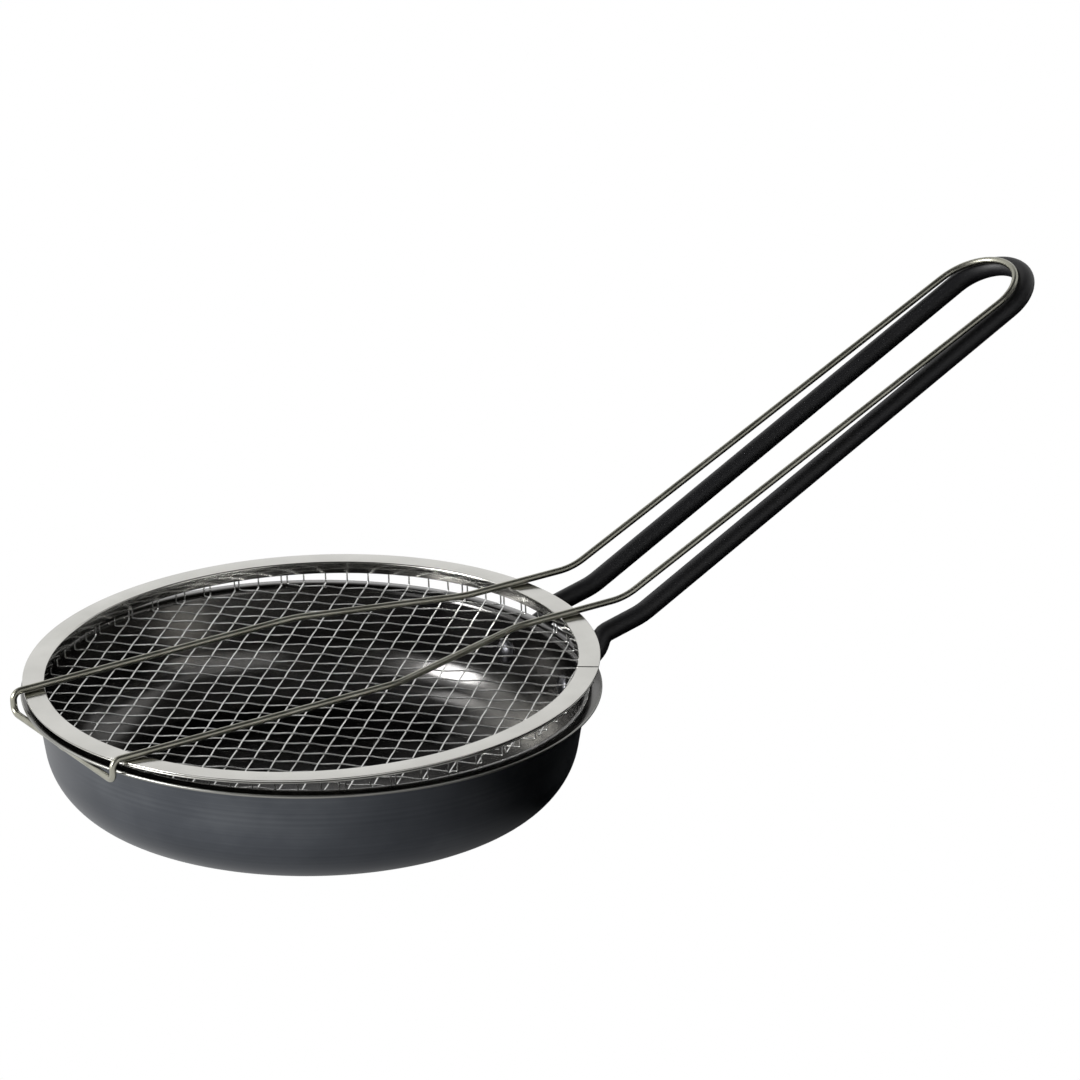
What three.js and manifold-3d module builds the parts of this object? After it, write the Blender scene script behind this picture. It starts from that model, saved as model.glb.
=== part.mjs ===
// A hand-held coffee roaster: a round steel pan with a hairpin rod handle, and a hinged lid of
// dished wire mesh clamped in a flat ring and carried by a bent wire frame.
// Millimetres, +Z up. The origin is the centre of the pan's base, and the handle points along +X.
import * as THREE from "three";
import { mergeVertices } from "three/addons/utils/BufferGeometryUtils.js";
import Module from "manifold-3d";

// Pan
const PAN_HEIGHT = 41;
const LIP_RADIUS = 100.6;
const LIP_WIDTH = 5.2;
const LIP_BEND = 1.6;
const SHEET = 1.2;
const CORNER_RADIUS = 24;
const WALL_FLARE = 9;

// Pan handle, one rod bent into a hairpin; heights are measured from the top of the lip,
// and distances out from the lip's edge
const ROD = 7;
const BAR_SPACING = 33;
const HANDLE_TIP = 298;
const HANDLE_RISE = 28.9;
const RISE_START_OUT = 23.9;
const RISE_START_HEIGHT = 5.8;
const NECK_OUT = 5.4;
const NECK_HEIGHT = 1.2;
const ROOT_BEND = 9;
const NECK_BEND = 8;
const RISE_BEND = 24;
const TAB_WIDTH = 13;
const TAB_LENGTH = 17;
const TAB_THICKNESS = 3;

// Rivets that hold the handle
const RIVET_HEAD = 8.5;
const RIVET_SHANK = 4.6;
const RIVET_DROP = 14;
const RIVET_SPACING = 40;
const HEAD_HEIGHT = 2;

// Lid ring; its heights are measured from the top face of the upper leaf
const RING_INSET = 0.6;
const RING_WIDTH = 7.7;
const LEAF = 0.6;
const FLANGE_DROP = 4.4;
const FLANGE_SHEET = 0.5;
const LID_TILT = 2.5;

// Mesh
const WIRE = 0.65;
const MESH_PITCH = 7.617;
const WIRES_EACH_WAY = 24;
const WEAVE = 0.45;
const MESH_ANGLE = 44.5;
const DISH_DEPTH = 8.4;
const DISH_BEND = 0.5;

// Wire frame of the lid
const FRAME_WIRE = 2.4;
const WIDE_SPACING = 72.1;
const NARROW_SPACING = 34.9;
const CONVERGE_START = 13.8;
const CONVERGE_END = 72.7;
const FRAME_RISE_START = 116.8;
const LOOP_SETBACK = 4.6;
const HOOK_INSET = 3.65;
const HOOK_PLAY = 0.7;
const HOOK_BEND = 3;
const SPREAD_BEND = 30;
const FRAME_RISE_BEND = 24;
const WELD_GAP = 0.4;
const WELD_LENGTH = 3;
const WELD_PROUD = 0.15;

// Clearances between pieces that touch, and between the lip and the ring that swings over it
const FIT = 0.3;
const SHANK_FIT = 0.15;
const SWING_FIT = 0.1;

// Facets
const ROUND = 54;

// Sizes that follow from those above
const degrees = Math.PI / 180;
const flare = WALL_FLARE * degrees;
const tilt = LID_TILT * degrees;
const rise = HANDLE_RISE * degrees;
const wallTop = { radius: LIP_RADIUS - LIP_WIDTH, z: PAN_HEIGHT - SHEET - LIP_BEND * (1 - Math.sin(flare)) };
const lipBend = { radius: wallTop.radius + LIP_BEND * Math.cos(flare), z: PAN_HEIGHT - SHEET - LIP_BEND };
const lipEdge = { radius: LIP_RADIUS - SHEET / 2, z: PAN_HEIGHT - SHEET / 2 };
const cornerDrop = (wallTop.z - CORNER_RADIUS) * Math.sin(flare);
const baseRadius = wallTop.radius - (CORNER_RADIUS + cornerDrop) / Math.cos(flare);
const riseStart = { x: LIP_RADIUS + RISE_START_OUT, z: PAN_HEIGHT + RISE_START_HEIGHT };
const handleLoop = BAR_SPACING / 2;
const handleEnd = HANDLE_TIP - ROD / 2;

const ringRadius = LIP_RADIUS - RING_INSET;
const ringInner = ringRadius - RING_WIDTH;
const ringStack = 2 * LEAF + FIT;
const meshRadius = ringInner + FLANGE_SHEET + FIT + WIRE / 2;

// The crossbar is the hinge. The ring stands just high enough over it to swing past the lip's edge.
const hinge = { x: HOOK_INSET - LIP_RADIUS, z: PAN_HEIGHT - SHEET - HOOK_PLAY - FRAME_WIRE / 2 };
const edgeReach = Math.hypot(hinge.x + lipEdge.radius, hinge.z - lipEdge.z) + SHEET / 2;
const hookDrop = ringStack + edgeReach + SWING_FIT;
const hookOut = (hookDrop * Math.sin(tilt) - hinge.x) / Math.cos(tilt);
const lidHeight = hinge.z + hookOut * Math.sin(tilt) + hookDrop * Math.cos(tilt);

// The frame's slope follows from its end loop, which rests on the end loop of the handle.
const frameLift = FIT + FRAME_WIRE / 2;
const frameStart = onLid(FRAME_RISE_START, frameLift);
const frameEnd = handleEnd - LOOP_SETBACK;
const seat = (ROD / 2 + FIT + FRAME_WIRE / 2) / Math.cos(rise);
const seatHeight = riseStart.z + (frameEnd - riseStart.x) * Math.tan(rise) + seat;
const frameRise = Math.atan2(seatHeight - frameStart.z, frameEnd - frameStart.x) - tilt;

const wasm = await Module();
wasm.setup();
const part = new THREE.Group();
part.name = "coffee_roaster";

// A place given in the lid's own frame, seen in the part's frame.
function onLid(x, z) {
  return {
    x: x * Math.cos(tilt) - z * Math.sin(tilt),
    z: lidHeight + x * Math.sin(tilt) + z * Math.cos(tilt),
  };
}

// A solid of manifold-3d from a three.js geometry.
function solid(geometry) {
  const bare = new THREE.BufferGeometry();
  const loose = geometry.index ? geometry.toNonIndexed() : geometry;
  bare.setAttribute("position", loose.getAttribute("position"));
  const merged = mergeVertices(bare, 1e-4);
  return new wasm.Manifold(
    new wasm.Mesh({
      numProp: 3,
      vertProperties: merged.attributes.position.array,
      triVerts: new Uint32Array(merged.index.array),
    }),
  );
}

// A three.js geometry from a solid of manifold-3d.
function geometryOf(made) {
  const mesh = made.getMesh();
  const geometry = new THREE.BufferGeometry();
  geometry.setAttribute("position", new THREE.BufferAttribute(new Float32Array(mesh.vertProperties), 3));
  geometry.setIndex(new THREE.BufferAttribute(new Uint32Array(mesh.triVerts), 1));
  return geometry;
}

function add(name, geometry, colour, metalness, roughness, parent = part) {
  const faceted = geometry.index ? geometry.toNonIndexed() : geometry;
  faceted.computeVertexNormals();
  const material = new THREE.MeshStandardMaterial({ color: colour, metalness, roughness });
  material.name = name;
  const mesh = new THREE.Mesh(faceted, material);
  mesh.name = name;
  parent.add(mesh);
}

// Points of an arc about a centre, from one angle to another in degrees.
function arc(centre, z, radius, from, to, steps) {
  const points = [];
  for (let i = 0; i <= steps; i++) {
    const angle = (from + ((to - from) * i) / steps) * degrees;
    points.push([centre + radius * Math.cos(angle), z + radius * Math.sin(angle)]);
  }
  return points;
}

// A closed profile turned about Z.
function turned(profile) {
  const points = profile.map(([r, z]) => new THREE.Vector2(Math.max(r, 0), z));
  return new THREE.LatheGeometry(points, ROUND).rotateX(Math.PI / 2);
}

// A path that an extrusion follows from each given point straight to the next.
class Stations extends THREE.Curve {
  constructor(points) {
    super();
    this.points = points;
  }
  getPoint(t, target = new THREE.Vector3()) {
    const place = t * (this.points.length - 1);
    const i = Math.min(Math.floor(place), this.points.length - 2);
    return target.lerpVectors(this.points[i], this.points[i + 1], place - i);
  }
  getUtoTmapping(u) {
    return u;
  }
}

// A round rod or wire through a list of points, with its ends closed.
function rod(points, diameter, sides) {
  const section = [];
  for (let k = 0; k < sides; k++) {
    const turn = ((k + 0.5) / sides) * 2 * Math.PI;
    section.push(new THREE.Vector2(Math.cos(turn), Math.sin(turn)).multiplyScalar(diameter / 2));
  }
  const path = new Stations(points.map((p) => new THREE.Vector3(...p)));
  return new THREE.ExtrudeGeometry(new THREE.Shape(section), { steps: points.length - 1, extrudePath: path });
}

// A path whose corners are rounded, each by an arc of its own radius.
function rounded(corners, radii, steps) {
  const points = [corners[0]];
  for (let i = 1; i < corners.length - 1; i++) {
    const here = new THREE.Vector3(...corners[i]);
    const back = new THREE.Vector3(...corners[i - 1]).sub(here);
    const on = new THREE.Vector3(...corners[i + 1]).sub(here);
    const backLength = back.length();
    const onLength = on.length();
    back.normalize();
    on.normalize();
    const half = back.angleTo(on) / 2;
    const reach = Math.min(radii[i - 1] / Math.tan(half), backLength * 0.49, onLength * 0.49);
    const bend = reach * Math.tan(half);
    const middle = back.clone().add(on).normalize();
    const centre = here.clone().addScaledVector(middle, bend / Math.sin(half));
    const start = here.clone().addScaledVector(back, reach).sub(centre);
    const stop = here.clone().addScaledVector(on, reach).sub(centre);
    const sweep = start.angleTo(stop);
    for (let k = 0; k <= steps; k++) {
      const t = k / steps;
      const a = Math.sin((1 - t) * sweep) / Math.sin(sweep);
      const b = Math.sin(t * sweep) / Math.sin(sweep);
      const p = centre.clone().addScaledVector(start, a).addScaledVector(stop, b);
      points.push([p.x, p.y, p.z]);
    }
  }
  points.push(corners[corners.length - 1]);
  return points;
}

// Half a turn of a rod whose two sides run parallel, from the side at +Y to the side at -Y.
function endLoop(start, radius, slope, steps) {
  const points = [];
  for (let k = 1; k < steps; k++) {
    const turn = (k / steps) * Math.PI;
    const out = radius * Math.sin(turn);
    points.push([start[0] + out * Math.cos(slope), radius * Math.cos(turn), start[2] + out * Math.sin(slope)]);
  }
  return points;
}

function panShell() {
  const edge = SHEET / 2;
  const profile = [
    [0, 0],
    ...arc(baseRadius, CORNER_RADIUS, CORNER_RADIUS, -90, -WALL_FLARE, 4),
    ...arc(lipBend.radius, lipBend.z, LIP_BEND, 180 - WALL_FLARE, 90, 2),
    ...arc(lipEdge.radius, lipEdge.z, edge, -90, 90, 2),
    ...arc(lipBend.radius, lipBend.z, LIP_BEND + SHEET, 90, 180 - WALL_FLARE, 3),
    ...arc(baseRadius, CORNER_RADIUS, CORNER_RADIUS - SHEET, -WALL_FLARE, -90, 4),
    [0, SHEET],
  ];
  let shell = solid(turned(profile));
  for (const side of [1, -1]) {
    shell = shell.subtract(pin(side, RIVET_SHANK + 2 * SHANK_FIT, -3 * SHEET, SHEET, 16));
  }
  return geometryOf(shell);
}

// The frame of a rivet: its place on the outside of the wall, looking outwards along the wall's normal.
function onWall(side) {
  const z = PAN_HEIGHT - RIVET_DROP;
  const radius = wallTop.radius - (wallTop.z - z) * Math.tan(flare);
  const turn = Math.asin((side * RIVET_SPACING) / 2 / radius);
  const place = new THREE.Matrix4().makeRotationZ(turn);
  place.multiply(new THREE.Matrix4().makeTranslation(radius, 0, z));
  place.multiply(new THREE.Matrix4().makeRotationY(flare));
  return place;
}

// A short cylinder along the wall's normal, from one distance to another.
function pin(side, diameter, from, to, sides) {
  const cylinder = new THREE.CylinderGeometry(diameter / 2, diameter / 2, to - from, sides);
  cylinder.rotateZ(-Math.PI / 2).translate((from + to) / 2, 0, 0);
  return solid(cylinder.applyMatrix4(onWall(side)));
}

// One side of the handle's rod, from the tab on the wall to the start of the end loop.
function barPath(side) {
  const y = side * handleLoop;
  const tabY = (side * RIVET_SPACING) / 2;
  const neck = LIP_RADIUS + NECK_OUT;
  const straight = handleEnd - handleLoop * Math.cos(rise);
  const rootZ = PAN_HEIGHT - RIVET_DROP;
  return rounded(
    [
      [wallTop.radius, tabY, rootZ - TAB_LENGTH / 2],
      [neck, tabY, rootZ],
      [neck, y, PAN_HEIGHT + NECK_HEIGHT],
      [riseStart.x, y, riseStart.z],
      [straight, y, riseStart.z + (straight - riseStart.x) * Math.tan(rise)],
    ],
    [ROOT_BEND, NECK_BEND, RISE_BEND],
    5,
  );
}

function panHandle() {
  const near = barPath(1);
  const far = barPath(-1).reverse();
  const loop = endLoop(near[near.length - 1], handleLoop, rise, 12);
  let made = solid(rod([...near, ...loop, ...far], ROD, 8));
  for (const side of [1, -1]) {
    made = made.add(tab(side)).subtract(wallClearance(side));
    made = made.subtract(pin(side, RIVET_SHANK + 2 * SHANK_FIT, -ROD, ROD, 16));
    made = made.subtract(pin(side, RIVET_HEAD + 2 * FIT, TAB_THICKNESS + FIT, 2 * ROD, 16));
  }
  return geometryOf(made);
}

// The flattened end of the rod, a paddle with rounded ends that lies along the wall.
function tab(side) {
  const outline = new THREE.Shape();
  const half = TAB_LENGTH / 2 - TAB_WIDTH / 2;
  outline.absarc(0, half, TAB_WIDTH / 2, 0, Math.PI);
  outline.absarc(0, -half, TAB_WIDTH / 2, Math.PI, 2 * Math.PI);
  const plate = new THREE.ExtrudeGeometry(outline, { depth: TAB_THICKNESS, bevelEnabled: false, curveSegments: 6 });
  plate.rotateX(Math.PI / 2).rotateZ(Math.PI / 2).translate(FIT, 0, 0);
  return solid(plate.applyMatrix4(onWall(side)));
}

// What has to go so that the rod's root doesn't enter the wall.
function wallClearance(side) {
  const depth = 3 * ROD;
  const block = new THREE.BoxGeometry(depth, 3 * TAB_WIDTH, 3 * TAB_LENGTH);
  block.translate(FIT - depth / 2, 0, 0);
  return solid(block.applyMatrix4(onWall(side)));
}

// A rivet with a low round head inside the pan and a flat one outside.
function rivet(side) {
  const shank = RIVET_SHANK / 2;
  const head = RIVET_HEAD / 2;
  const inside = -SHEET - FIT;
  const outside = TAB_THICKNESS + 2 * FIT;
  const profile = [
    [0, inside - HEAD_HEIGHT],
    [head * 0.55, inside - HEAD_HEIGHT * 0.8],
    [head, inside - HEAD_HEIGHT * 0.2],
    [head, inside],
    [shank, inside],
    [shank, outside],
    [head * 0.9, outside],
    [head * 0.7, outside + HEAD_HEIGHT * 0.5],
    [0, outside + HEAD_HEIGHT * 0.5],
  ];
  const points = profile.map(([r, x]) => new THREE.Vector2(r, x));
  const body = new THREE.LatheGeometry(points, 16).rotateZ(-Math.PI / 2);
  return body.applyMatrix4(onWall(side));
}

// The upper leaf, with the flange that hangs from its inner edge and holds the mesh outside it.
function ringUpper() {
  const soft = LEAF * 0.4;
  const flange = ringInner + FLANGE_SHEET;
  return turned([
    [ringInner, -FLANGE_DROP],
    [flange, -FLANGE_DROP],
    [flange, -LEAF],
    [ringRadius - soft, -LEAF],
    [ringRadius, -LEAF + soft],
    [ringRadius, -soft],
    [ringRadius - soft, 0],
    [ringInner + FLANGE_SHEET, 0],
    [ringInner, -FLANGE_SHEET],
    [ringInner, -FLANGE_DROP],
  ]);
}

// The lower leaf, a flat annulus outside the mesh.
function ringLower() {
  const top = -LEAF - FIT;
  const inner = meshRadius + WIRE / 2 + FIT;
  const outer = ringRadius - LEAF / 2;
  return turned([
    [inner, top - LEAF],
    [outer, top - LEAF],
    [outer, top],
    [inner, top],
    [inner, top - LEAF],
  ]);
}

// One woven wire: it runs along the first direction, at an offset along the second, and goes over
// and under the wires that cross it. At both ends it turns up sharply and ends under the upper leaf.
function meshWire(along, across, index, over) {
  const offset = (index - (WIRES_EACH_WAY - 1) / 2) * MESH_PITCH;
  const floorEnd = Math.sqrt((meshRadius - DISH_BEND) ** 2 - offset ** 2);
  const wall = Math.sqrt(meshRadius ** 2 - offset ** 2);
  const sign = (index % 2 ? -1 : 1) * (over ? 1 : -1);
  const half = [];
  for (let k = 0; (k + 0.5) * MESH_PITCH < floorEnd - DISH_BEND; k++) {
    half.push([(k + 0.5) * MESH_PITCH, -DISH_DEPTH, sign * (k % 2 ? -1 : 1) * WEAVE]);
  }
  half.push([floorEnd, -DISH_DEPTH, 0]);
  half.push([wall, -DISH_DEPTH + 2 * DISH_BEND, 0]);
  half.push([wall, -LEAF - FIT, 0]);
  const back = half.map(([s, z, lift]) => [-s, z, -lift]).reverse();
  const points = [...back, ...half].map(([s, z, lift]) => [
    along.x * s + across.x * offset,
    along.y * s + across.y * offset,
    z + lift,
  ]);
  return rod(points, WIRE, 4);
}

// The frame's wire: a long end loop beside the handle, two sides that spread over the ring,
// and the crossbar that hooks under the pan's lip. Its two ends meet in a weld on the crossbar.
function frameWire() {
  const wide = WIDE_SPACING / 2;
  const narrow = NARROW_SPACING / 2;
  const slope = frameRise + tilt;
  const length = (frameEnd - frameStart.x) / Math.cos(slope) - narrow;
  const side = (hand) => [
    [-hookOut, hand * wide, -hookDrop],
    [-hookOut, hand * wide, frameLift],
    [CONVERGE_START, hand * wide, frameLift],
    [CONVERGE_END, hand * narrow, frameLift],
    [FRAME_RISE_START, hand * narrow, frameLift],
    [
      FRAME_RISE_START + length * Math.cos(frameRise),
      hand * narrow,
      frameLift + length * Math.sin(frameRise),
    ],
  ];
  const end = (y) => [-hookOut, y, -hookDrop];
  const radii = [HOOK_BEND, HOOK_BEND, SPREAD_BEND, SPREAD_BEND, FRAME_RISE_BEND];
  const there = rounded([end(WELD_GAP / 2), ...side(1)], radii, 4);
  const back = rounded([end(-WELD_GAP / 2), ...side(-1)], radii, 4).reverse();
  const loop = endLoop(there[there.length - 1], narrow, frameRise, 10);
  const wire = solid(rod([...there, ...loop, ...back], FRAME_WIRE, 8));
  const weld = rod([end(-WELD_LENGTH / 2), end(WELD_LENGTH / 2)], FRAME_WIRE + 2 * WELD_PROUD, 8);
  return geometryOf(wire.add(solid(weld)));
}

add("pan_shell", panShell(), 0x55565c, 0.9, 0.4);
add("pan_handle", panHandle(), 0x141318, 0.2, 0.6);
add("rivet_left", rivet(1), 0x6b6b70, 1, 0.4);
add("rivet_right", rivet(-1), 0x6b6b70, 1, 0.4);

// The lid is drawn about the centre of its ring's top face, and tilted so that its handle side is raised.
const lid = new THREE.Group();
lid.name = "lid";
lid.position.set(0, 0, lidHeight);
lid.rotation.y = -tilt;
part.add(lid);
add("ring_upper", ringUpper(), 0xc9c8c4, 1, 0.2, lid);
add("ring_lower", ringLower(), 0xb8b7b2, 1, 0.3, lid);
add("lid_frame", frameWire(), 0x6b6b62, 1, 0.35, lid);

const angle = MESH_ANGLE * degrees;
const first = new THREE.Vector2(Math.cos(angle), Math.sin(angle));
const second = new THREE.Vector2(-Math.sin(angle), Math.cos(angle));
for (let k = 0; k < WIRES_EACH_WAY; k++) {
  const number = String(k + 1).padStart(2, "0");
  add("mesh_a_" + number, meshWire(first, second, k, true), 0xa8a8a8, 1, 0.35, lid);
  add("mesh_b_" + number, meshWire(second, first, k, false), 0xa8a8a8, 1, 0.35, lid);
}

export default part;
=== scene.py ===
"""A hand-held coffee roaster: a blued steel pan with a black rod handle and a hinged mesh lid.

Sizes are in millimetres, in the CAD frame: the origin is the centre of the pan's base, +Z up,
+X along the handle. The scene itself is in metres.
"""

import math
import random

import bmesh
import bpy
from mathutils import Matrix, Vector

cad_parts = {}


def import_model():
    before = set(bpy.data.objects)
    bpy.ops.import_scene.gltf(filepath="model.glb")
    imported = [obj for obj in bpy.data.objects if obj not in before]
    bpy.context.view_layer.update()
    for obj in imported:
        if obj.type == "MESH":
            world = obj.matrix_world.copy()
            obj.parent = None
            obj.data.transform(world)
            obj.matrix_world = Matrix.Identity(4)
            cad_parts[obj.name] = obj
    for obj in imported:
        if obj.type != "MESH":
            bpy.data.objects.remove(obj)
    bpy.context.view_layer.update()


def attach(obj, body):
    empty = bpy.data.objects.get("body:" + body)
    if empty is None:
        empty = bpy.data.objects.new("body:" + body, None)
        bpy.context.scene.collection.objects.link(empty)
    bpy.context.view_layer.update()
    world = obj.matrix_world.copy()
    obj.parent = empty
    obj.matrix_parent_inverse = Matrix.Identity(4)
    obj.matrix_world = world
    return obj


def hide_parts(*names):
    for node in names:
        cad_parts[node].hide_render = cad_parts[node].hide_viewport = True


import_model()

MM = 0.001
MERGE_DISTANCE = 1e-7
rng = random.Random(11)

# Pan
PAN_HEIGHT = 41
LIP_RADIUS = 100.55
LIP_WIDTH = 5.2
LIP_BEND = 1.6
SHEET = 1.2
CORNER_RADIUS = 24
WALL_FLARE = math.radians(9)
LIP_DROOP = 0.35
FLOOR_CORE = 40

# Pan handle. Heights are measured from the top of the lip, and distances out from its edge
ROD = 7
ROD_SIDES = 28
ROD_STEP = 1.2
BAR_SPACING = 33
HANDLE_TIP = 297.95
HANDLE_RISE = math.radians(28.9)
HANDLE_BENDS = (7, 8, 8, 24)
RISE_START_OUT = 23.9
RISE_START_HEIGHT = 5.8
NECK_OUT = 5.4
NECK_LEAN = 2
NECK_HEIGHT = 1.2
NECK_FOOT = 3
NECK_SPLAY = 0.3

# The paddle at each end of the handle, and its rivet
TAB_WIDTH = 13
TAB_LENGTH = 17
TAB_THICKNESS = 3
PADDLE_TIP = 0.6
PADDLE_TOP = 5
BLEND_START = TAB_LENGTH - 3
BLEND_END = TAB_LENGTH + 6
TIP_LENGTH = 6
TIP_LEAST = 0.25
SQUARENESS = 0.45
RIVET_HEAD = 8.5
RIVET_SHANK = 4.6
RIVET_DROP = 14
RIVET_SPACING = 40
HEAD_HEIGHT = 2
HEAD_RIM = 0.3
HEAD_PLAY = 0.05
# Share of the head's radius, and height over the tab
RIVET_TAIL = ((0.86, 0), (0.9, 0.35), (0.7, 0.9), (0.3, 1.1), (0, 1.15))

# Lid ring, in the lid's own frame: its origin is the centre of the ring's top face
RING_INSET = 0.6
RING_WIDTH = 7.7
LEAF = 0.6
LEAF_EDGE = 0.22
LEAF_PLAY = 0.05
LOWER_EDGE_INSET = 0.55
FLANGE_DROP = 4.4
FLANGE_SHEET = 0.5
FLANGE_BEND = 0.55
FLANGE_FILLET = 0.3
UPPER_WAVE = 0.02
LOWER_WAVE = 0.04
LID_TILT = math.radians(2.5)
SEAM_ANGLE = math.radians(-38.3)
SEAM_STEP = 0.22
SEAM_SLOPE = 16
SEAM_STATIONS = (-0.4, -0.15, 0, 0.04, 0.1, 0.3)

# Mesh
WIRE = 0.56
DRAWN_SHARE = 0.98
WIRE_SIDES = 8
WIRE_PLAY = 0.03
WIRE_LEAN = 0.15
WIRE_END_PLAY = 0.15
MESH_PITCH = 7.617
WIRES_EACH_WAY = 24
STEPS_PER_PITCH = 8
WEAVE_ALONG = 0.13
WEAVE_ACROSS = 0.26
WEAVE_FADE = 2
MESH_ANGLE = math.radians(45.6)
DISH_DEPTH = 8.4
DISH_BEND = 0.9
DISH_CORNER_LIFT = 0.05

# Cropped ends of the mesh wires. They are left out at the hinge side, and here and there
ENDS_FROM = 5
ENDS_MISSING = 0.3
ENDS_ROOT_RADIUS = 97.6
ENDS_LIFT = 0.1
ENDS_INSET = 0.5
ENDS_RUN = (1.6, 3.2)
ENDS_DROOP = (0.1, 0.6)
# Share of the length, and thickness there
ENDS_TAPER = ((0, 1), (0.6, 1), (1, 0.8))
ENDS_SIDES = 6

# Wire frame of the lid
FRAME_WIRE = 2.4
FRAME_SIDES = 18
FRAME_BENDS = (3, 3, 30, 30, 24)
FRAME_SETTLE = 0.2
WIDE_SPACING = 72.1
NARROW_SPACING = 34.9
CONVERGE_START = 13.8
CONVERGE_END = 72.7
FRAME_RISE_START = 116.8
LOOP_SETBACK = 4.6
HOOK_INSET = 3.65
HOOK_PLAY = 0.7
CROSSBAR_START = 3
WELD_PROUD = 0.15
WELD_STATIONS = (-1.6, -1.3, -0.6, 0, 0.6, 1.3, 1.6)

FIT = 0.3
SWING_FIT = 0.1

# Degrees between faces over which an edge is sharp
TURNED_SHARP = 40
SWEPT_SHARP = 50

# Sizes that follow from those above
WALL_TOP = (LIP_RADIUS - LIP_WIDTH, PAN_HEIGHT - SHEET - LIP_BEND * (1 - math.sin(WALL_FLARE)))
BEND_CENTRE = (WALL_TOP[0] + LIP_BEND * math.cos(WALL_FLARE), PAN_HEIGHT - SHEET - LIP_BEND)
WALL_RUN = CORNER_RADIUS + (WALL_TOP[1] - CORNER_RADIUS) * math.sin(WALL_FLARE)
BASE_RADIUS = WALL_TOP[0] - WALL_RUN / math.cos(WALL_FLARE)
RISE_START = (LIP_RADIUS + RISE_START_OUT, PAN_HEIGHT + RISE_START_HEIGHT)
RING_RADIUS = LIP_RADIUS - RING_INSET
RING_INNER = RING_RADIUS - RING_WIDTH
MESH_RADIUS = RING_INNER + FLANGE_SHEET + FIT + WIRE / 2 + WIRE_PLAY
HINGE = (HOOK_INSET - LIP_RADIUS, PAN_HEIGHT - SHEET - HOOK_PLAY - FRAME_WIRE / 2)
LIP_EDGE = (HINGE[0] + LIP_RADIUS - SHEET / 2, HINGE[1] - PAN_HEIGHT + SHEET / 2)
HOOK_DROP = 2 * LEAF + FIT + math.hypot(*LIP_EDGE) + SHEET / 2 + SWING_FIT
HOOK_OUT = (HOOK_DROP * math.sin(LID_TILT) - HINGE[0]) / math.cos(LID_TILT)
LID_HEIGHT = HINGE[1] + HOOK_OUT * math.sin(LID_TILT) + HOOK_DROP * math.cos(LID_TILT)
LID = Matrix.Translation((0, 0, LID_HEIGHT)) @ Matrix.Rotation(-LID_TILT, 4, "Y")
FRAME_LIFT = FIT + FRAME_WIRE / 2


def frame_rise():
    """The slope of the frame's long loop in the lid's frame, and the length of its straight part.

    The loop's end rests on the handle's end loop.
    """
    start = LID @ Vector((FRAME_RISE_START, 0, FRAME_LIFT))
    end = HANDLE_TIP - ROD / 2 - LOOP_SETBACK
    seat = (ROD / 2 + FIT + FRAME_WIRE / 2) / math.cos(HANDLE_RISE)
    height = RISE_START[1] + (end - RISE_START[0]) * math.tan(HANDLE_RISE) + seat
    slope = math.atan2(height - start.z, end - start.x)
    return slope - LID_TILT, (end - start.x) / math.cos(slope) - NARROW_SPACING / 2


# Shapes

def arc(x, z, radius, start, stop, steps):
    """Points of an arc in a profile, between two angles in degrees."""
    angles = [math.radians(start + (stop - start) * i / steps) for i in range(steps + 1)]
    return [(x + radius * math.cos(a), z + radius * math.sin(a)) for a in angles]


def circle(radius, sides):
    turns = [math.tau * k / sides for k in range(sides)]
    return [(radius * math.cos(t), radius * math.sin(t)) for t in turns]


def rounded(corners, radii, steps):
    """The corners joined by straight lines and arcs of the given radii.

    An arc takes at most about half of a line, where the radius asks for more.
    """
    most = 0.49
    points = [Vector(corners[0])]
    for here, before, after, radius in zip(corners[1:-1], corners, corners[2:], radii):
        here = Vector(here)
        back = Vector(before) - here
        on = Vector(after) - here
        half = back.angle(on) / 2
        reach = min(radius / math.tan(half), back.length * most, on.length * most)
        bend = reach * math.tan(half)
        centre = here + (back.normalized() + on.normalized()).normalized() * bend / math.sin(half)
        start = here + back.normalized() * reach - centre
        stop = here + on.normalized() * reach - centre
        sweep_angle = start.angle(stop)
        for k in range(steps + 1):
            t = k / steps
            a = math.sin((1 - t) * sweep_angle) / math.sin(sweep_angle)
            b = math.sin(t * sweep_angle) / math.sin(sweep_angle)
            points.append(centre + start * a + stop * b)
    points.append(Vector(corners[-1]))
    return points


def end_loop(start, slope, radius, steps):
    """The points of a half circle that begins at the start, on the +Y side, without its ends."""
    points = []
    for k in range(1, steps):
        turn = math.pi * k / steps
        out = slope * radius * math.sin(turn)
        points.append(start + out + Vector((0, radius * math.cos(turn) - radius, 0)))
    return points


def resampled(path, step):
    """The path as points an even step apart."""
    total = sum((b - a).length for a, b in zip(path, path[1:]))
    count = round(total / step)
    points = []
    want = 0.0
    done = 0.0
    for a, b in zip(path, path[1:]):
        length = (b - a).length
        while want <= done + length + 1e-9 and len(points) <= count and length > 0:
            points.append(a.lerp(b, (want - done) / length))
            want += total / count
        done += length
    if (points[-1] - path[-1]).length > 1e-6:
        points.append(path[-1].copy())
    return points


def running_lengths(points):
    """How far each point of a closed path lies along it, in metres."""
    lengths = [0.0]
    for a, b in zip(points, points[1:] + points[:1]):
        lengths.append(lengths[-1] + (Vector(b) - Vector(a)).length * MM)
    return lengths


def object_of(name, bm, sharp):
    """Ends a bmesh as an object with smooth faces and sharp edges."""
    bmesh.ops.recalc_face_normals(bm, faces=bm.faces)
    mesh = bpy.data.meshes.new(name)
    bm.to_mesh(mesh)
    bm.free()
    mesh.shade_smooth()
    mesh.set_sharp_from_angle(angle=math.radians(sharp))
    return placed(name, mesh)


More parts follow.
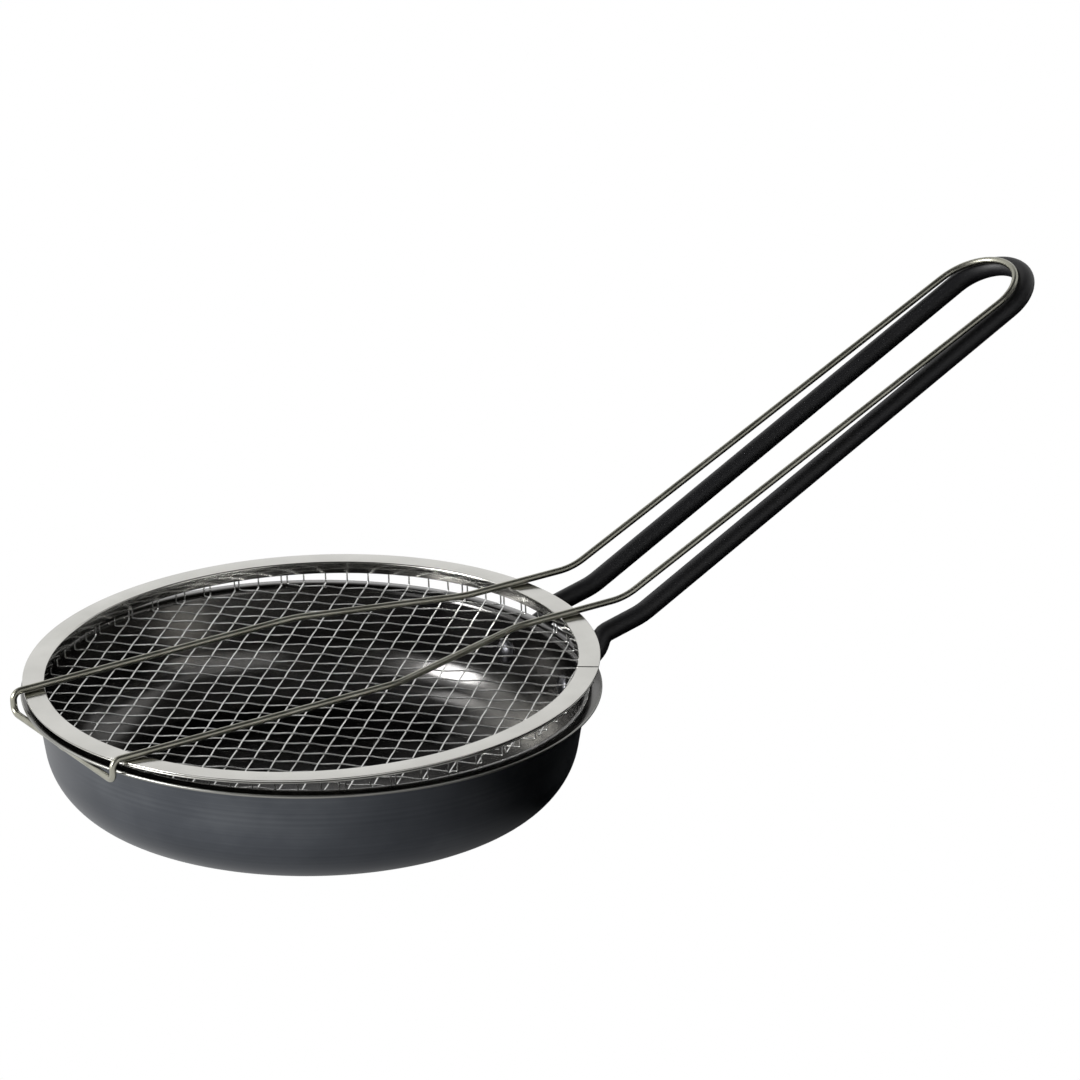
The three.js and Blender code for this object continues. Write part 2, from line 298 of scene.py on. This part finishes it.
def placed(name, data, place=(0, 0, 0), direction=None):
    """A new object in the scene, which looks along the direction if one is given."""
    thing = bpy.data.objects.new(name, data)
    bpy.context.scene.collection.objects.link(thing)
    thing.location = place
    if direction:
        thing.rotation_euler = Vector(direction).to_track_quat("-Z", "Y").to_euler()
    return thing


def new_object(name, rings, closed_path, closed_ring, place, sharp):
    """A mesh from rings of points along a path. Its ends are capped, unless the path is closed.

    The UV map is in metres: along the path first, then round the rings.
    """
    count, sides = len(rings), len(rings[0])
    bm = bmesh.new()
    uv = bm.loops.layers.uv.new("UVMap")
    grid = [[bm.verts.new((place @ Vector(p)) * MM) for p in ring] for ring in rings]
    widest = max(rings, key=lambda r: (Vector(r[1]) - Vector(r[0])).length)
    lengths = running_lengths([ring[0] for ring in rings])
    around = running_lengths(widest)
    for i in range(count if closed_path else count - 1):
        for k in range(sides if closed_ring else sides - 1):
            j, m = (i + 1) % count, (k + 1) % sides
            face = bm.faces.new([grid[i][k], grid[i][m], grid[j][m], grid[j][k]])
            spots = [(lengths[i], around[k]), (lengths[i], around[k + 1]),
                     (lengths[i + 1], around[k + 1]), (lengths[i + 1], around[k])]
            for loop, spot in zip(face.loops, spots):
                loop[uv].uv = spot
    if not closed_path:
        bm.faces.new(grid[0][::-1])
        bm.faces.new(grid[-1])
    bmesh.ops.remove_doubles(bm, verts=bm.verts, dist=MERGE_DISTANCE)
    return object_of(name, bm, sharp)


def turned(name, profile, segments, place=Matrix.Identity(4), wobble=None, more=()):
    """A closed or axis-to-axis profile turned about Z, with more angles between the even ones.

    The wobble shifts a point's height by its place.
    """
    turns = [math.tau * i / segments for i in range(segments)]
    rings = []
    for turn in sorted(turns + [angle % math.tau for angle in more]):
        ring_points = []
        for r, z in profile:
            point = Vector((r * math.cos(turn), r * math.sin(turn), z))
            if wobble:
                point.z += wobble(turn)
            ring_points.append(point)
        rings.append(ring_points)
    return new_object(name, rings, True, False, place, TURNED_SHARP)


def swept(name, path, section, closed=False, place=Matrix.Identity(4)):
    """A section carried along a path.

    The section gives its outline at each station, as distances to the side and up.
    """
    count = len(path)
    rings = []
    side = None
    for i, here in enumerate(path):
        before = path[(i - 1) % count] if closed or i else here
        after = path[(i + 1) % count] if closed or i < count - 1 else here
        along = (after - before).normalized()
        if side is None:
            side = Vector((0, 1, 0)) if abs(along.y) < 0.7 else Vector((1, 0, 0))
        side = (side - along * side.dot(along)).normalized()
        up = along.cross(side)
        rings.append([here + side * u + up * v for u, v in section(i)])
    return new_object(name, rings, closed, True, place, SWEPT_SHARP)


# Materials

# Where most of a noise pattern's values lie, and how far they move the roughness
NOISE_LOW = 0.3
NOISE_HIGH = 0.7
SMOOTHER = 0.06
ROUGHER = 0.08


def linear(text):
    """An sRGB hex colour as linear RGBA."""
    values = [int(text[i:i + 2], 16) / 255 for i in (0, 2, 4)]
    return (*[v / 12.92 if v <= 0.04045 else ((v + 0.055) / 1.055) ** 2.4 for v in values], 1)


def add_node(tree, kind, settings=None, inputs=None):
    """Adds one node. An input is a value, or a socket to link from."""
    made = tree.nodes.new(kind)
    for key, value in (settings or {}).items():
        setattr(made, key, value)
    for key, value in (inputs or {}).items():
        if isinstance(value, bpy.types.NodeSocket):
            tree.links.new(value, made.inputs[key])
        else:
            made.inputs[key].default_value = value
    return made


def start_material(name):
    material = bpy.data.materials.new(name)
    material.use_nodes = True
    material.node_tree.nodes.clear()
    return material, material.node_tree


def finish_material(tree, inputs):
    shader = add_node(tree, "ShaderNodeBsdfPrincipled", None, inputs)
    add_node(tree, "ShaderNodeOutputMaterial", None, {"Surface": shader.outputs["BSDF"]})


def finish_metal(tree, colour, rough, normal):
    finish_material(tree, {
        "Base Color": colour, "Metallic": 1.0, "Roughness": rough, "Normal": normal})


def math_node(tree, operation, *values):
    made = add_node(tree, "ShaderNodeMath", {"operation": operation}, dict(enumerate(values)))
    return made.outputs["Value"]


def ramp(tree, factor, stops):
    """A colour ramp between hex colours at the given places."""
    made = add_node(tree, "ShaderNodeValToRGB", None, {"Fac": factor})
    elements = made.color_ramp.elements
    while len(elements) < len(stops):
        elements.new(0.5)
    for element, (place, colour) in zip(elements, stops):
        element.position = place
        element.color = linear(colour)
    return made.outputs["Color"]


def stretched_noise(tree, coordinates, scale, detail):
    """Noise whose grains are 1/scale metres along each axis."""
    mapped = add_node(tree, "ShaderNodeMapping", None, {"Vector": coordinates, "Scale": scale})
    noise = add_node(tree, "ShaderNodeTexNoise", None, {
        "Vector": mapped.outputs["Vector"], "Scale": 1.0, "Detail": detail, "Roughness": 0.55})
    return noise.outputs["Fac"]


def levels(tree, value, low, high, to_low, to_high):
    """The value moved from one range to another, and kept inside it."""
    made = add_node(tree, "ShaderNodeMapRange", None, {
        "Value": value, "From Min": low, "From Max": high, "To Min": to_low, "To Max": to_high})
    return made.outputs["Result"]


def bumped(tree, height, strength, distance):
    """The surface's direction with a relief of the given height, in metres."""
    made = add_node(tree, "ShaderNodeBump", None, {
        "Height": height, "Strength": strength, "Distance": distance})
    return made.outputs["Normal"]


def blued_steel(name, dark, mid, light, roughness, lines):
    """Blued carbon steel, spun to shape: dark and satin, with faint turning lines and clouds."""
    low, high = 0.4, 0.85
    material, tree = start_material(name)
    place = add_node(tree, "ShaderNodeTexCoord")
    cloud = stretched_noise(tree, place.outputs["Object"], (18, 18, 26), 4)
    turning = stretched_noise(tree, place.outputs["UV"], (3, 900, 1), 3)
    both = math_node(tree, "MULTIPLY_ADD", turning, 0.25, cloud)
    shade = levels(tree, both, low, high, 0, 1)
    colour = ramp(tree, shade, [(0, dark), (0.5, mid), (1, light)])
    rough = levels(tree, both, low, high, roughness - SMOOTHER, roughness + ROUGHER)
    finish_metal(tree, colour, rough, bumped(tree, turning, lines, 0.0001))
    return material


def black_coating():
    """A baked black coating on the rod: matte, with a fine dry grain of about 0.3 mm."""
    material, tree = start_material("baked_black_coating")
    place = add_node(tree, "ShaderNodeTexCoord")
    grain = stretched_noise(tree, place.outputs["Object"], (3200, 3200, 3200), 2)
    patches = stretched_noise(tree, place.outputs["Object"], (60, 60, 60), 3)
    colour = ramp(tree, patches, [(NOISE_LOW, "08080b"), (NOISE_HIGH, "0f0f13")])
    rough = levels(tree, grain, NOISE_LOW, NOISE_HIGH, 0.46, 0.62)
    finish_material(tree, {"Base Color": colour, "Metallic": 0.0, "Roughness": rough, "IOR": 1.5,
                           "Normal": bumped(tree, grain, 0.25, 0.0001)})
    return material


def polished_stainless():
    """Polished stainless sheet: almost a mirror, with fine lines round the ring and a ripple."""
    material, tree = start_material("polished_stainless_sheet")
    place = add_node(tree, "ShaderNodeTexCoord")
    lines = stretched_noise(tree, place.outputs["UV"], (6, 2500, 1), 3)
    ripple = stretched_noise(tree, place.outputs["Object"], (55, 55, 55), 2)
    colour = ramp(tree, ripple, [(NOISE_LOW, "bfbeb9"), (NOISE_HIGH, "cbcac5")])
    rough = levels(tree, lines, NOISE_LOW, NOISE_HIGH, 0.1, 0.2)
    height = math_node(tree, "MULTIPLY_ADD", lines, 0.03, ripple)
    finish_metal(tree, colour, rough, bumped(tree, height, 0.5, 0.0004))
    return material


def drawn_wire(name, dark, light, roughness):
    """Stainless wire as it is drawn: fine lines along it and patches of duller skin."""
    material, tree = start_material(name)
    place = add_node(tree, "ShaderNodeTexCoord")
    lines = stretched_noise(tree, place.outputs["UV"], (60, 6000, 1), 2)
    patches = stretched_noise(tree, place.outputs["Object"], (90, 90, 90), 3)
    colour = ramp(tree, patches, [(NOISE_LOW, dark), (NOISE_HIGH, light)])
    rough = levels(
        tree, lines, NOISE_LOW, NOISE_HIGH, roughness - SMOOTHER, roughness + ROUGHER)
    finish_metal(tree, colour, rough, bumped(tree, lines, 0.2, 0.00005))
    return material


OUTSIDE = blued_steel("blued_steel_outside", "43464b", "505358", "626569", 0.42, 0.1)
INSIDE = blued_steel("blued_steel_inside", "464646", "555453", "686764", 0.17, 0.08)
# The lip's rounded rim gets a lighter steel colour: a painted highlight line along the edge.
PAINTED_HIGHLIGHT_RIM = blued_steel("lip_rim_painted_highlight", "777773", "888884", "9a9a95", 0.32, 0.1)
BLACK = black_coating()
POLISHED = polished_stainless()
UNDER_LEAF = drawn_wire("rolled_stainless_sheet", "8f8e8a", "b3b2ad", 0.28)
FRAME_FINISH = drawn_wire("drawn_stainless_wire", "8a897d", "a6a599", 0.3)
MESH_FINISH = drawn_wire("woven_stainless_wire", "cfcfcd", "e6e6e4", 0.24)
RIVET_FINISH = drawn_wire("bright_steel_rivet", "4a4a4d", "5e5e61", 0.3)


def take(thing, body, nodes, materials):
    """Gives a piece its finish and its body, and hides the CAD nodes that it stands for."""
    for material in materials:
        thing.data.materials.append(material)
    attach(thing, body)
    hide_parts(*nodes)


# Pan

def pan():
    """The spun shell. The top of its lip slopes a little, from a soft bend to the round edge."""
    edge = SHEET / 2
    flare = math.degrees(WALL_FLARE)
    rim = (LIP_RADIUS - edge, PAN_HEIGHT - edge - LIP_DROOP)
    slope_out, slope_in = 75, 82
    outside = [(0, 0), (FLOOR_CORE, 0)]
    outside += arc(BASE_RADIUS, CORNER_RADIUS, CORNER_RADIUS, -90, -flare, 24)
    outside += arc(*BEND_CENTRE, LIP_BEND, 180 - flare, 90, 8)
    outside += arc(*rim, edge, -90, slope_out, 8)
    inside = arc(*BEND_CENTRE, LIP_BEND + SHEET, slope_in, 180 - flare, 10)
    inside += arc(BASE_RADIUS, CORNER_RADIUS, CORNER_RADIUS - SHEET, -flare, -90, 24)
    inside += [(FLOOR_CORE, SHEET), (0, SHEET)]
    thing = turned("pan_blued_steel", outside + inside, 288)
    take(thing, "pan", ["pan_shell"], [OUTSIDE, INSIDE, PAINTED_HIGHLIGHT_RIM])
    inside_radius = LIP_RADIUS - 0.9
    edge_radius = LIP_RADIUS - 0.7
    edge_height = PAN_HEIGHT - 1.4
    for face in thing.data.polygons:
        middle = face.center / MM
        normal = face.normal
        radius = math.hypot(middle.x, middle.y)
        inward = normal.x * middle.x + normal.y * middle.y < 0
        if (inward or normal.z > 0.9) and radius < inside_radius and normal.z > -0.5:
            face.material_index = 1
        # The rounded rim of the lip takes the lighter colour of the painted highlight line.
        elif radius > edge_radius and middle.z > edge_height:
            face.material_index = 2


def on_wall(side):
    """The place of a rivet: on the outside of the wall, with +X along its outward normal."""
    z = PAN_HEIGHT - RIVET_DROP
    radius = WALL_TOP[0] - (WALL_TOP[1] - z) * math.tan(WALL_FLARE)
    turn = math.asin(side * RIVET_SPACING / 2 / radius)
    place = Matrix.Rotation(turn, 4, "Z") @ Matrix.Translation((radius, 0, z))
    return place @ Matrix.Rotation(WALL_FLARE, 4, "Y")


def rivet(name, side, node):
    shank = RIVET_SHANK / 2
    head = RIVET_HEAD / 2
    inside = -SHEET - HEAD_PLAY
    outside = TAB_THICKNESS + FIT
    turns = [math.radians(9 * i) for i in range(1, 10)]
    profile = [(0, inside - HEAD_HEIGHT)]
    profile += [(head * math.sin(a), inside - HEAD_HEIGHT * math.cos(a)) for a in turns]
    profile += [(head, inside - HEAD_RIM), (head, inside), (shank, inside), (shank, outside)]
    profile += [(head * share, outside + height) for share, height in RIVET_TAIL]
    thing = turned(name, profile, 48, on_wall(side) @ Matrix.Rotation(math.pi / 2, 4, "Y"))
    take(thing, "pan", [node], [RIVET_FINISH])


def handle():
    """One rod from tab to tab. Each end is flattened into a paddle that lies along the wall."""
    loop = BAR_SPACING / 2
    straight = (HANDLE_TIP - ROD / 2 - RISE_START[0]) / math.cos(HANDLE_RISE) - loop
    neck = LIP_RADIUS + NECK_OUT
    slope = Vector((math.cos(HANDLE_RISE), 0, math.sin(HANDLE_RISE)))

    def side_path(side):
        y = side * loop
        splay = side * RIVET_SPACING / 2 - y
        place = on_wall(side)
        out = FIT + TAB_THICKNESS / 2
        low = place @ Vector((out, 0, -TAB_LENGTH / 2 - PADDLE_TIP))
        high = place @ Vector((out, 0, TAB_LENGTH / 2 - PADDLE_TOP))
        foot = Vector((neck, y + splay * NECK_SPLAY, PAN_HEIGHT - NECK_FOOT))
        top = Vector((neck + NECK_LEAN, y, PAN_HEIGHT + NECK_HEIGHT))
        start = Vector((RISE_START[0], y, RISE_START[1]))
        corners = [low, high, foot, top, start, start + slope * straight]
        return rounded(corners, HANDLE_BENDS, 10)

    near, far = side_path(1), side_path(-1)
    path = resampled(near + end_loop(near[-1], slope, loop, 32) + far[::-1], ROD_STEP)

    def section(i):
        run = min(i, len(path) - 1 - i) * ROD_STEP
        flat = max(0.0, min(1.0, (BLEND_END - run) / (BLEND_END - BLEND_START)))
        flat = flat * flat * (3 - 2 * flat)
        tip = math.sqrt(1 - (1 - run / TIP_LENGTH) ** 2) if run < TIP_LENGTH else 1
        wide = (ROD + (TAB_WIDTH - ROD) * flat) / 2 * max(tip, TIP_LEAST)
        thick = (ROD + (TAB_THICKNESS - ROD) * flat) / 2
        power = 1 - SQUARENESS * flat
        outline = []
        for u, v in circle(1, ROD_SIDES):
            outline.append((math.copysign(abs(u) ** power, u) * wide,
                            math.copysign(abs(v) ** power, v) * thick))
        return outline

    thing = swept("handle_black_rod", path, section)
    take(thing, "pan", ["pan_handle"], [BLACK])


# Lid

def ring():
    """The polished upper leaf with its flange, and the lower leaf.

    The upper leaf is one strip rolled up on edge, so its ends meet in an overlap that shows as a
    step.
    """
    def seam(turn):
        run = (turn - SEAM_ANGLE + math.pi) % math.tau - math.pi
        along = run * RING_RADIUS
        if -SEAM_SLOPE < along <= 0:
            return -SEAM_STEP * (1 + along / SEAM_SLOPE) ** 2
        return UPPER_WAVE * math.sin(3 * turn + 1) - UPPER_WAVE

    def wave(turn):
        return LOWER_WAVE * math.sin(17 * turn) * math.sin(5 * turn)

    inner = RING_INNER
    flange_out = inner + FLANGE_SHEET
    sheet = FLANGE_SHEET / 2
    rim = RING_RADIUS - LEAF_EDGE - LEAF_PLAY
    upper = arc(inner + sheet, -FLANGE_DROP + sheet, sheet, 180, 360, 6)
    upper += [(flange_out, -LEAF - FLANGE_FILLET), (flange_out + FLANGE_FILLET, -LEAF)]
    upper += [(rim, -LEAF)] + arc(rim, -LEAF + LEAF_EDGE, LEAF_EDGE, -90, 0, 4)[1:]
    upper += arc(rim, -LEAF_EDGE, LEAF_EDGE, 0, 90, 4)
    upper += arc(inner + FLANGE_BEND, -FLANGE_BEND, FLANGE_BEND, 90, 180, 6)
    upper += [(inner, -FLANGE_DROP + sheet)]
    near_seam = [SEAM_ANGLE + distance / RING_RADIUS for distance in SEAM_STATIONS]
    thing = turned("ring_upper_leaf", upper, 360, LID, seam, near_seam)
    take(thing, "lid", ["ring_upper"], [POLISHED])

    top = -LEAF - FIT + LEAF_PLAY
    half = LEAF / 2
    inner = MESH_RADIUS + WIRE / 2 + FIT
    lower = [(inner, top - LEAF)]
    lower += arc(RING_RADIUS - LOWER_EDGE_INSET, top - half, half, -90, 90, 6)
    lower += [(inner, top), (inner, top - LEAF)]
    thing = turned("ring_lower_leaf", lower, 360, LID, wave)
    take(thing, "lid", ["ring_lower"], [UNDER_LEAF])


def mesh_families():
    """Both families of wires: letter, direction, the direction across it, and its first side."""
    first = Vector((math.cos(MESH_ANGLE), math.sin(MESH_ANGLE), 0))
    second = Vector((-math.sin(MESH_ANGLE), math.cos(MESH_ANGLE), 0))
    return (("a", first, second, 1), ("b", second, first, -1))


def wire_place(k):
    """How far a wire lies from the middle, and how far out along it the mesh's rim is."""
    offset = (k - (WIRES_EACH_WAY - 1) / 2) * MESH_PITCH
    return offset, math.sqrt(MESH_RADIUS ** 2 - offset ** 2)


def mesh_wires():
    """The woven wires. Each goes over and under those that cross it, and its ends turn up."""
    for letter, along, across, over in mesh_families():
        weave = WEAVE_ALONG if over > 0 else WEAVE_ACROSS
        for k in range(WIRES_EACH_WAY):
            offset, wall = wire_place(k)
            flat_end = wall - DISH_BEND * MESH_RADIUS / wall
            sign = over * (-1 if k % 2 else 1)
            steps = max(STEPS_PER_PITCH, round(2 * flat_end / (MESH_PITCH / STEPS_PER_PITCH)))
            line = []
            for i in range(steps + 1):
                s = -flat_end + 2 * flat_end * i / steps
                fade = min(1.0, (flat_end - abs(s)) / WEAVE_FADE)
                wave = sign * weave * math.sin(math.pi * s / MESH_PITCH) * fade
                line.append(Vector((s, 0, -DISH_DEPTH + wave)))
            ends = []
            for side in (-1, 1):
                lean = rng.uniform(-WIRE_LEAN, WIRE_LEAN)
                corners = [(side * flat_end, 0, -DISH_DEPTH),
                           (side * wall, 0, -DISH_DEPTH + DISH_CORNER_LIFT),
                           (side * wall, lean, -LEAF - WIRE_END_PLAY)]
                ends.append(rounded(corners, [DISH_BEND], 5)[1:])
            line = ends[0][::-1] + line + ends[1]
            path = [along * p.x + across * (offset + p.y) + Vector((0, 0, p.z)) for p in line]
            name = f"mesh_{letter}_{k + 1:02d}"
            outline = circle(WIRE / 2 * DRAWN_SHARE, WIRE_SIDES)
            thing = swept("wire_" + name, path, lambda i: outline, place=LID)
            take(thing, "lid", [name], [MESH_FINISH])


def add_wire_end(bm, start, stop):
    """Adds one short, slightly tapered piece of wire."""
    run = (stop - start).normalized()
    side = run.cross(Vector((0, 0, 1))).normalized()
    up = side.cross(run)
    grid = []
    for share, thickness in ENDS_TAPER:
        place = start.lerp(stop, share)
        outline = circle(WIRE / 2 * thickness, ENDS_SIDES)
        grid.append([bm.verts.new((LID @ (place + side * u + up * v)) * MM) for u, v in outline])
    for a, b in zip(grid, grid[1:]):
        for i in range(ENDS_SIDES):
            j = (i + 1) % ENDS_SIDES
            bm.faces.new([a[i], a[j], b[j], b[i]])
    bm.faces.new(grid[0][::-1])
    bm.faces.new(grid[-1])


def cut_wire_ends():
    """The cropped ends of the mesh wires, folded back under the lower leaf."""
    bm = bmesh.new()
    under = -2 * LEAF - FIT - WIRE / 2
    for _, along, across, _ in mesh_families():
        for k in range(WIRES_EACH_WAY):
            offset, wall = wire_place(k)
            for side in (-1, 1):
                root = along * side * wall + across * offset
                if root.x < ENDS_FROM or rng.random() < ENDS_MISSING:
                    continue
                out = root.normalized()
                rim = Vector((-out.y, out.x, 0))
                rim *= math.copysign(1, along.dot(rim)) * side
                start = out * ENDS_ROOT_RADIUS + Vector((0, 0, under + ENDS_LIFT))
                stop = start + rim * rng.uniform(*ENDS_RUN)
                stop.z -= rng.uniform(*ENDS_DROOP)
                stop += out * (RING_RADIUS - ENDS_INSET - stop.to_2d().length)
                add_wire_end(bm, start, stop)
    thing = object_of("cut_wire_ends", bm, SWEPT_SHARP)
    take(thing, "lid", [], [MESH_FINISH])


def lid_frame():
    """One wire: crossbar with its weld, two legs up to the ring, two sides and the end loop."""
    rise, length = frame_rise()
    loop = NARROW_SPACING / 2
    wide = WIDE_SPACING / 2
    lift = FRAME_LIFT - FRAME_SETTLE
    slope = Vector((math.cos(rise), 0, math.sin(rise)))

    def side_path(side):
        start = Vector((FRAME_RISE_START, side * loop, lift))
        corners = [(-HOOK_OUT, side * CROSSBAR_START, -HOOK_DROP),
                   (-HOOK_OUT, side * wide, -HOOK_DROP),
                   (-HOOK_OUT, side * wide, lift),
                   (CONVERGE_START, side * wide, lift),
                   (CONVERGE_END, side * loop, lift),
                   start,
                   start + slope * length]
        return rounded(corners, FRAME_BENDS, 10)

    near, far = side_path(1), side_path(-1)
    weld = [Vector((-HOOK_OUT, y, -HOOK_DROP)) for y in WELD_STATIONS]
    path = weld + near + end_loop(near[-1], slope, loop, 28) + far[::-1]

    def section(i):
        proud = WELD_PROUD if 0 < i < len(weld) - 1 else 0
        return circle(FRAME_WIRE / 2 + proud, FRAME_SIDES)

    thing = swept("frame_bent_wire", path, section, closed=True, place=LID)
    take(thing, "lid", ["lid_frame"], [FRAME_FINISH])


# Studio. Its sizes are in metres

WHITE = (1, 1, 1, 1)
FLOOR_SIZE = 24
FLOOR_HEIGHT = -0.0002
FLOOR_CARD_HEIGHT = -0.0001
FILL_LIGHT = 0.45


def white_ray(tree):
    """1 for a ray from the camera, or one that comes by gloss or glass."""
    path = add_node(tree, "ShaderNodeLightPath")
    first = math_node(
        tree, "MAXIMUM", path.outputs["Is Camera Ray"], path.outputs["Is Glossy Ray"])
    return math_node(tree, "MAXIMUM", first, path.outputs["Is Transmission Ray"])


def rectangle(name, width, height):
    mesh = bpy.data.meshes.new(name)
    w, h = width / 2, height / 2
    mesh.from_pydata([(-w, -h, 0), (w, -h, 0), (w, h, 0), (-w, h, 0)], [], [(0, 1, 2, 3)])
    return mesh


def card(name, width, height, place, aim, colour, fade=0):
    """A plain card that the metal reflects, and that the camera doesn't see.

    Its left edge may fade from the floor's white.
    """
    mesh = rectangle(name, width, height)
    thing = placed(name, mesh, place, Vector(aim) - Vector(place))
    material, tree = start_material(name)
    values = {"Base Color": linear(colour), "Roughness": 1.0, "Specular IOR Level": 0.0}
    if fade:
        place_on = add_node(tree, "ShaderNodeTexCoord")
        parts = add_node(
            tree, "ShaderNodeSeparateXYZ", None, {"Vector": place_on.outputs["Object"]})
        glow = levels(tree, parts.outputs["X"], -width / 2, fade - width / 2, 1, 0)
        values["Emission Color"] = WHITE
        values["Emission Strength"] = math_node(tree, "MULTIPLY", glow, white_ray(tree))
    finish_material(tree, values)
    mesh.materials.append(material)
    thing.visible_camera = False


def floor():
    """A pale floor, which is plain white to the camera and in what the metal reflects."""
    mesh = rectangle("floor", FLOOR_SIZE, FLOOR_SIZE)
    thing = placed("floor", mesh, (0, 0, FLOOR_HEIGHT))
    material, tree = start_material("pale_floor")
    matte = add_node(tree, "ShaderNodeBsdfDiffuse", None, {"Color": linear("ededed")})
    glow = add_node(tree, "ShaderNodeEmission", None, {"Color": WHITE, "Strength": 1.0})
    mix = add_node(tree, "ShaderNodeMixShader", None, {
        0: white_ray(tree), 1: matte.outputs["BSDF"], 2: glow.outputs["Emission"]})
    add_node(tree, "ShaderNodeOutputMaterial", None, {"Surface": mix.outputs["Shader"]})
    mesh.materials.append(material)


def world():
    made = bpy.data.worlds.new("studio")
    made.use_nodes = True
    tree = made.node_tree
    tree.nodes.clear()
    strength = levels(tree, white_ray(tree), 0, 1, FILL_LIGHT, 1.0)
    back = add_node(
        tree, "ShaderNodeBackground", None, {"Color": WHITE, "Strength": strength})
    add_node(tree, "ShaderNodeOutputWorld", None, {"Surface": back.outputs["Background"]})
    bpy.context.scene.world = made


def lamp(name, place, aim, size, watts):
    data = bpy.data.lights.new(name, "AREA")
    data.shape = "DISK"
    data.size = size
    data.energy = watts
    placed(name, data, place, Vector(aim) - Vector(place))


def camera(place, direction, lens):
    data = bpy.data.cameras.new("camera")
    data.sensor_fit = "HORIZONTAL"
    data.sensor_width = 36
    data.lens = lens
    data.clip_start = 0.1
    data.clip_end = 60
    bpy.context.scene.camera = placed("camera", data, place, direction)


pan()
rivet("rivet_left_steel", 1, "rivet_left")
rivet("rivet_right_steel", -1, "rivet_right")
handle()
ring()
mesh_wires()
cut_wire_ends()
lid_frame()

floor()
world()
lamp("softbox_low_left", (-1.4, 0.22, 0.56), (0.08, 0.03, 0.01), 0.7, 30)
lamp("softbox_high_back", (-0.9, 0.8, 1.5), (0, 0, 0), 0.6, 3)
card("grey_ceiling", 3.6, 3.6, (0, -0.4, 1.8), (0, -0.4, 0), "646464")
card("grey_front", 3.0, 2.6, (-1.9, -2.2, 1.2), (0, 0, 0.6), "747474")
card("dark_card_right", 1.6, 1.0, (1.5, -0.9, 0.5), (0.1, 0, 0.02), "0c0c0e")
card("dark_card_on_floor", 1.1, 1.4, (0.44, -0.25, FLOOR_CARD_HEIGHT), (0.44, -0.25, -1),
     "212124", 0.17)
camera((-1.066882, -1.893663, 0.911134), (0.4887, 0.79817, -0.35226), 225.486)

bpy.context.scene.view_settings.view_transform = "Standard"
